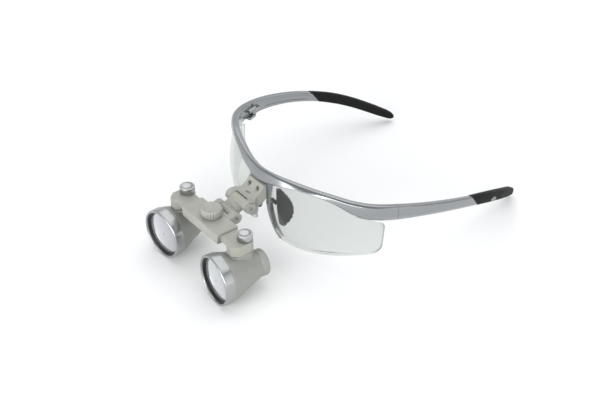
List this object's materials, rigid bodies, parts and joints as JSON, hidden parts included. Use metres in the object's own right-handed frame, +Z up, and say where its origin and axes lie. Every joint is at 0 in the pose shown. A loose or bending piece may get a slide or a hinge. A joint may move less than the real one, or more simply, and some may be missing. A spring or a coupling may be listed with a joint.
{
  "type": "dental loupes",
  "caption": "Flip-up binocular loupes on a half-rim spectacle frame with clear wraparound lenses, folding temples and rubber temple tips.",
  "frame": {"origin": "centre of the bounding box at its base, on the surface the loupes stand on", "axes": "+X towards the wearer's left, +Y from the barrels towards the temple tips, +Z up"},
  "size_m": [0.1486, 0.1994, 0.0523],
  "materials": {
    "frame_silver": "satin silver lacquer",
    "clear_lens": "clear, polished",
    "black_rubber": "matte",
    "badge_metal": "satin",
    "bracket_grey": "satin, fine blasted",
    "barrel_grey": "satin",
    "bright_metal": "turned, polished",
    "pin_steel": "turned",
    "pinion_brass": "machined",
    "washer_plastic": "matte",
    "stop_black": "matte black anodised",
    "coated_glass": "polished, violet coating"
  },
  "bodies": {
    "frame": {"front_frame": "frame_silver", "lens_left": "clear_lens", "lens_right": "clear_lens", "nose_pad_left": "black_rubber", "nose_pad_right": "black_rubber", "nose_pad_pins": "pin_steel", "hinge_screw_left": "pin_steel", "hinge_screw_right": "pin_steel", "bridge_clamp": "bracket_grey", "clamp_back_plate": "bracket_grey", "clamp_screws": "pin_steel", "flip_pin": "pin_steel", "flip_detent_wheel": "pin_steel"},
    "temple_left": {"temple_left": "frame_silver", "temple_tip_left": "black_rubber", "temple_badge_left": "badge_metal"},
    "temple_right": {"temple_right": "frame_silver", "temple_tip_right": "black_rubber", "temple_badge_right": "badge_metal"},
    "link": {"flip_link": "bracket_grey"},
    "housing": {"housing_body": "bracket_grey", "housing_cover": "bracket_grey", "housing_screws": "pin_steel", "tilt_pin": "pin_steel", "tilt_washers": "pin_steel"},
    "knob": {"pd_knob": "bracket_grey", "pinion": "pinion_brass"},
    "arm_left": {"arm_left": "bracket_grey"},
    "arm_right": {"arm_right": "bracket_grey"},
    "barrel_left": {"barrel_left": "barrel_grey", "front_ring_left": "bright_metal", "retaining_ring_left": "stop_black", "objective_lens_left": "coated_glass", "field_stop_left": "stop_black", "eyepiece_lens_left": "coated_glass", "eyepiece_ring_left": "barrel_grey", "pivot_cap_left": "bright_metal", "pivot_washer_left": "washer_plastic"},
    "barrel_right": {"barrel_right": "barrel_grey", "front_ring_right": "bright_metal", "retaining_ring_right": "stop_black", "objective_lens_right": "coated_glass", "field_stop_right": "stop_black", "eyepiece_lens_right": "coated_glass", "eyepiece_ring_right": "barrel_grey", "pivot_cap_right": "bright_metal", "pivot_washer_right": "washer_plastic"}
  },
  "joints": [
    {"name": "temple_left_fold", "type": "hinge", "parent": "frame", "child": "temple_left", "pos_m": [0.0644, -0.0067, 0.04145], "axis": [0, 0, 1], "range_deg": [0, 90]},
    {"name": "temple_right_fold", "type": "hinge", "parent": "frame", "child": "temple_right", "pos_m": [-0.0644, -0.0067, 0.04145], "axis": [0, 0, -1], "range_deg": [0, 82]},
    {"name": "flip_up", "type": "hinge", "parent": "frame", "child": "link", "pos_m": [0, -0.0628, 0.0366], "axis": [-1, 0, 0], "range_deg": [0, 85]},
    {"name": "tilt", "type": "hinge", "parent": "link", "child": "housing", "pos_m": [0, -0.0712, 0.033], "axis": [-1, 0, 0], "range_deg": [-20, 20]},
    {"name": "width_knob", "type": "hinge", "parent": "housing", "child": "knob", "pos_m": [0, -0.0813, 0.0352], "axis": [0, 0, -1], "range_deg": [-52, 147]},
    {"name": "arm_left_slide", "type": "slide", "parent": "housing", "child": "arm_left", "axis": [1, 0, 0], "range_m": [-0.0022, 0.0063]},
    {"name": "arm_right_slide", "type": "slide", "parent": "housing", "child": "arm_right", "axis": [-1, 0, 0], "range_m": [-0.0023, 0.0065]},
    {"name": "converge_left", "type": "hinge", "parent": "arm_left", "child": "barrel_left", "pos_m": [0.0273, -0.079, 0.0278], "axis": [0, 0, 1], "range_deg": [-8, 8]},
    {"name": "converge_right", "type": "hinge", "parent": "arm_right", "child": "barrel_right", "pos_m": [-0.0273, -0.079, 0.0278], "axis": [0, 0, -1], "range_deg": [-8, 8]}
  ],
  "couplings": [
    {"joint": "width_knob", "follows": "arm_left_slide", "rad_per_m": 400},
    {"joint": "arm_right_slide", "follows": "arm_left_slide", "ratio": 1}
  ]
}
